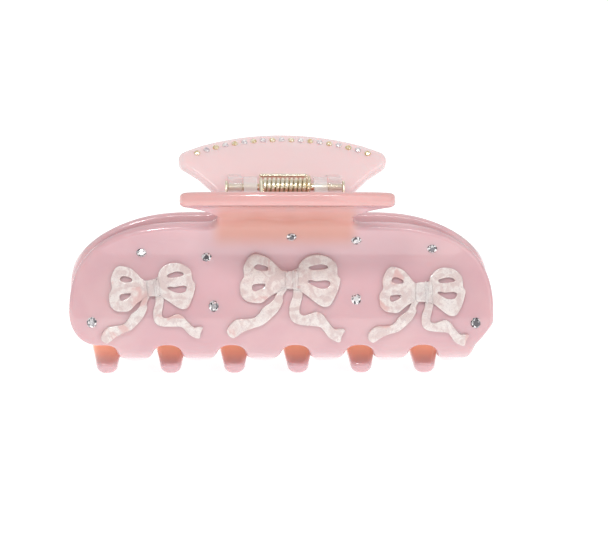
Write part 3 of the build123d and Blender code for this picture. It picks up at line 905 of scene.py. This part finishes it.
def acrylic(name, colour):
    """Clear cast acrylic: seen through where it faces the eye, brighter towards its outline."""
    paint = Paint(name, IOR=1.49, Coat_Weight=1.0, Coat_Roughness=0.03)
    cloud = paint.noise(400.0, 3.0, 0.5)
    paint.feed("Base Color", paint.mixed(cloud.within(0.4, 0.7), linear(colour), WHITE))
    paint.feed("Roughness", 0.05 + 0.1 * cloud)
    weight = add_node(paint.tree, "ShaderNodeLayerWeight", None, {"Blend": 0.35})
    facing = Flow(paint.tree, weight.outputs["Facing"])
    paint.feed("Alpha", 0.22 + 0.5 * facing)
    return paint.material


def cut_glass(name, tones):
    """Foiled glass whose facets are painted dark, middling or bright at random, as painted reflections of
    the room, with fine painted noise over them.
    """
    paint = Paint(name, Metallic=0.55, IOR=1.6, Coat_Weight=1.0, Coat_Roughness=0.02)
    attribute = add_node(paint.tree, "ShaderNodeAttribute", {"attribute_name": "glint"})
    glint = Flow(paint.tree, attribute.outputs["Fac"])
    # Painted reflections: each facet's painted tone, with fine noise that lightens and darkens it.
    painted_sparkle = glint + 0.25 * (paint.noise(2500.0, 1.0) - 0.5)
    dark, middle, bright = (linear(tone(*shade)) for shade in tones)
    stops = ((0.0, dark), (0.42, middle), (0.6, bright), (1.0, bright))
    ramp = add_node(paint.tree, "ShaderNodeValToRGB", {"stops": stops}, {0: painted_sparkle})
    paint.feed("Base Color", Flow(paint.tree, ramp.outputs[0]))
    paint.feed("Roughness", 0.04 + 0.08 * glint)
    return paint.material


def floor_finish(name, colour):
    """Matt seamless floor, lit a little from within so that its shadow stays soft."""
    paint = Paint(name, Emission_Strength=0.8, Roughness=0.9, Specular_IOR_Level=0.0)
    shade = paint.mixed(paint.noise(3.0, 2.0), linear(colour), WHITE)
    paint.feed("Base Color", paint.mixed(0.6, shade, FLOOR_GREY))
    paint.feed("Emission Color", shade)
    return paint.material


# ---- what a user can change ----------------------------------------------------------------------
def colour_setting(name, description, shade):
    """A colour setting whose default is given in parts of 255."""
    return bpy.props.FloatVectorProperty(name=name, description=description, size=3, default=tone(*shade),
                                         subtype="COLOR_GAMMA", min=0.0, max=1.0)


def length_setting(name, description, default, **limits):
    """A length setting in metres."""
    return bpy.props.FloatProperty(name=name, description=description, default=default, unit="LENGTH",
                                   precision=4, **limits)


def angle_setting(name, description, degrees):
    """An angle setting whose default is given in degrees."""
    return bpy.props.FloatProperty(name=name, description=description, default=math.radians(degrees),
                                   subtype="ANGLE")


class ClipColours(bpy.types.PropertyGroup):
    """Colours of the clip's finishes."""

    pink: colour_setting("Pink", "Body of the jaws", (212, 170, 176))
    pale_pink: colour_setting("Pale pink", "Clouds in the jaws", (218, 180, 183))
    # Painted light: a paler pink for the body below the front handle, where the handle's shade falls.
    painted_light_pink: colour_setting("Light pink", "Body below the front handle", (230, 192, 198))
    # Painted warm shade at the waist, where light bleeds through the sheet.
    painted_waist_tone: colour_setting("Blush", "Glow at the front jaw's waist", (224, 160, 143))
    # Painted deeper tone on the front handle, for light gathering in its edge.
    rim: colour_setting("Rim", "Front handle", (222, 172, 169))
    # Painted glow colour for the roots of the rear teeth, used as base colour and emission.
    painted_ember: colour_setting("Ember", "Glow at the roots of the rear teeth", (244, 168, 134))
    # Painted light: a paler pink for the rear handle, as if more lit from above.
    handle: colour_setting("Handle", "Rear handle", (240, 212, 212))
    pearl: colour_setting("Pearl", "Body of the bows", (217, 198, 194))
    pearl_light: colour_setting("Light pearl", "Pale bands in the bows", (232, 222, 217))
    pearl_shade: colour_setting("Pearl shade", "Cool veins in the bows", (188, 168, 174))
    pearl_clear: colour_setting("Clear pearl", "Clear patches in the bows", (218, 174, 170))
    gold: colour_setting("Champagne", "Pin and spring", (252, 244, 224))
    gold_shade: colour_setting("Champagne shade", "Film on the pin and spring", (242, 226, 192))
    acrylic: colour_setting("Acrylic", "Hinge lugs", (250, 238, 236))
    floor: colour_setting("Floor", "Studio floor", (250, 250, 250))


class ClipSizes(bpy.types.PropertyGroup):
    """Sizes that Blender adds to the frame's."""

    edge: length_setting("Edge round", "Radius of the jaws' polished edges", 1.1 * MM,
                         min=0.2 * MM, max=1.4 * MM)
    bow: length_setting("Bow thickness", "Thickness of a bow's loops", 0.9 * MM, min=0.4 * MM, max=2.0 * MM)
    # The seed picks the painted light and dark on the stones' facets.
    seed: bpy.props.IntProperty(name="Cut seed", description="Picks how the stones' facets catch light",
                                default=7)
    distance: length_setting("Camera distance", "Distance from camera to clip", 0.6)
    azimuth: angle_setting("Camera azimuth", "Turn of the camera round the clip", -3.4)
    elevation: angle_setting("Camera elevation", "Height angle of the camera", 21.0)
    roll: angle_setting("Camera roll", "Tilt of the camera to one side", 1.2)


# ---- stage ---------------------------------------------------------------------------------------
# Softboxes: name, place in metres, width and height in metres, power in watts.
LIGHTS = (
    ("key", (-0.25, -0.5, 0.72), (0.14, 0.14), 1.5),
    ("fill", (0.6, -0.5, 0.35), (0.6, 0.6), 0.8),
    ("back", (0.1, 0.7, 0.6), (0.6, 0.6), 0.5),
    ("strip", (0.0, -0.42, 0.62), (0.9, 0.03), 1.4),
)
ROOM_LIGHT = 0.56
FLOOR_HALF = 4.0
FLOOR_GREY = (0.2, 0.2, 0.2, 1.0)
# Lens in millimetres, nearest distance seen in metres, and the point aimed at, in millimetres to the
# right of the pin's middle and below it as the camera sees them.
LENS = 159.6
NEAREST = 0.01
AIM_RIGHT = 4.25
AIM_DOWN = 18.25

# Painted tones of a facet, standing for shade, half light and full light, in parts of 255.
CLEAR_TONES = ((24, 22, 26), (120, 116, 122), (252, 250, 250))
GOLD_TONES = ((218, 184, 120), (240, 216, 164), (255, 246, 222))
RAINBOW_TONES = ((206, 188, 200), (238, 226, 230), (255, 252, 250))


def add_floor(scene):
    """Floor at the foot of the clip."""
    low = CAD_BOX[0][2]
    corners = [(x * FLOOR_HALF, y * FLOOR_HALF, low) for x, y in ((-1, -1), (1, -1), (1, 1), (-1, 1))]
    mesh = bpy.data.meshes.new("floor")
    mesh.from_pydata(corners, [], [(0, 1, 2, 3)])
    floor = bpy.data.objects.new("floor", mesh)
    scene.collection.objects.link(floor)
    floor.data.materials.append(floor_finish("floor", scene.clip_colours.floor))


def add_lights(scene):
    """Even room light and softboxes that face the clip."""
    world = bpy.data.worlds.new("studio")
    world.use_nodes = True
    room = world.node_tree.nodes["Background"]
    room.inputs["Color"].default_value = WHITE
    room.inputs["Strength"].default_value = ROOM_LIGHT
    scene.world = world
    for name, place, size, power in LIGHTS:
        lamp = bpy.data.lights.new(name, "AREA")
        lamp.shape = "RECTANGLE"
        lamp.size, lamp.size_y = size
        lamp.energy = power
        light = bpy.data.objects.new(name, lamp)
        light.location = place
        light.rotation_euler = (-Vector(place)).to_track_quat("-Z", "Y").to_euler()
        scene.collection.objects.link(light)


def add_camera(scene):
    """Camera on a sphere round the clip, from its azimuth, elevation and distance, then rolled."""
    sizes = scene.clip_sizes
    a, e, r = sizes.azimuth, sizes.elevation, sizes.roll
    right = Vector((math.cos(a), math.sin(a), 0))
    up = Vector((-math.sin(a) * math.sin(e), math.cos(a) * math.sin(e), math.cos(e)))
    back = right.cross(up)
    right, up = right * math.cos(r) + up * math.sin(r), up * math.cos(r) - right * math.sin(r)
    target = right * AIM_RIGHT * MM - up * AIM_DOWN * MM
    lens = bpy.data.cameras.new("camera")
    lens.lens = LENS
    lens.clip_start = NEAREST
    camera = bpy.data.objects.new("camera", lens)
    camera.location = target + back * sizes.distance
    camera.rotation_euler = Matrix((right, up, back)).transposed().to_euler()
    scene.collection.objects.link(camera)
    scene.camera = camera
    scene.view_settings.view_transform = "Standard"


# ---- operators -----------------------------------------------------------------------------------
class CLIP_OT_jaws(bpy.types.Operator):
    """Add both bent sheet jaws"""

    bl_idname = "clip.jaws"
    bl_label = "Add jaws"

    def execute(self, context):
        colours = context.scene.clip_colours
        edge = context.scene.clip_sizes.edge / MM
        front = acetate("pink_acetate_front", colours, front_painted_light)
        add_jaw("front_jaw_sheet", "front", False, front, edge)
        rear = acetate("pink_acetate_rear", colours, rear_painted_light)
        add_jaw("rear_jaw_sheet", "root", True, rear, edge)
        return {"FINISHED"}


class CLIP_OT_bows(bpy.types.Operator):
    """Add the three ribbon bows"""

    bl_idname = "clip.bows"
    bl_label = "Add bows"

    def execute(self, context):
        material = pearl("pearl_acetate", context.scene.clip_colours)
        thickness = context.scene.clip_sizes.bow / MM
        for name, x, depth, turn, size, knot in BOWS:
            add_bow(name, x, depth, turn, size, knot, thickness, material)
        return {"FINISHED"}


class CLIP_OT_stones(bpy.types.Operator):
    """Add the cut stones and the rear handle's crystals"""

    bl_idname = "clip.stones"
    bl_label = "Add stones"

    def execute(self, context):
        seed = context.scene.clip_sizes.seed
        add_stones(cut_glass("cut_glass", CLEAR_TONES), seed)
        gold = cut_glass("gold_glass", GOLD_TONES)
        add_crystals("rear_gold_row", 0, gold, "rear_gold_crystals", seed + 1)
        rainbow = cut_glass("rainbow_glass", RAINBOW_TONES)
        add_crystals("rear_clear_row", 1, rainbow, "rear_clear_crystals", seed + 2)
        return {"FINISHED"}


class CLIP_OT_hinge(bpy.types.Operator):
    """Add the pin and spring and finish the clear lugs"""

    bl_idname = "clip.hinge"
    bl_label = "Add hinge"

    def execute(self, context):
        colours = context.scene.clip_colours
        plating = metal("champagne_plating", colours.gold, colours.gold_shade)
        add_pin(plating)
        add_spring(plating)
        clear = acrylic("clear_acrylic", colours.acrylic)
        for jaw in ("front", "rear"):
            for side in ("left", "right"):
                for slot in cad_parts[f"{jaw}_hinge_lug_{side}"].material_slots:
                    slot.material = clear
        return {"FINISHED"}


class CLIP_OT_stage(bpy.types.Operator):
    """Add the floor, the lights and the camera"""

    bl_idname = "clip.stage"
    bl_label = "Add stage"

    def execute(self, context):
        add_floor(context.scene)
        add_lights(context.scene)
        add_camera(context.scene)
        return {"FINISHED"}


class CLIP_PT_panel(bpy.types.Panel):
    """Buttons and settings for the clip"""

    bl_idname = "CLIP_PT_panel"
    bl_label = "Hair Clip"
    bl_space_type = "VIEW_3D"
    bl_region_type = "UI"
    bl_category = "Hair Clip"

    def draw(self, context):
        for operator in OPERATORS:
            self.layout.operator(operator.bl_idname)
        for settings in (context.scene.clip_sizes, context.scene.clip_colours):
            for name in settings.__annotations__:
                self.layout.prop(settings, name)


OPERATORS = (CLIP_OT_jaws, CLIP_OT_bows, CLIP_OT_stones, CLIP_OT_hinge, CLIP_OT_stage)
CLASSES = (ClipColours, ClipSizes, *OPERATORS, CLIP_PT_panel)


def register():
    """Makes the settings, buttons and panel known to Blender."""
    for cls in CLASSES:
        bpy.utils.register_class(cls)
    bpy.types.Scene.clip_colours = bpy.props.PointerProperty(type=ClipColours)
    bpy.types.Scene.clip_sizes = bpy.props.PointerProperty(type=ClipSizes)


def unregister():
    """Takes them away again."""
    del bpy.types.Scene.clip_sizes
    del bpy.types.Scene.clip_colours
    for cls in reversed(CLASSES):
        bpy.utils.unregister_class(cls)


def main():
    """Adds every piece in order."""
    register()
    bpy.ops.clip.jaws()
    bpy.ops.clip.bows()
    bpy.ops.clip.stones()
    bpy.ops.clip.hinge()
    bpy.ops.clip.stage()


if __name__ == "__main__":
    main()
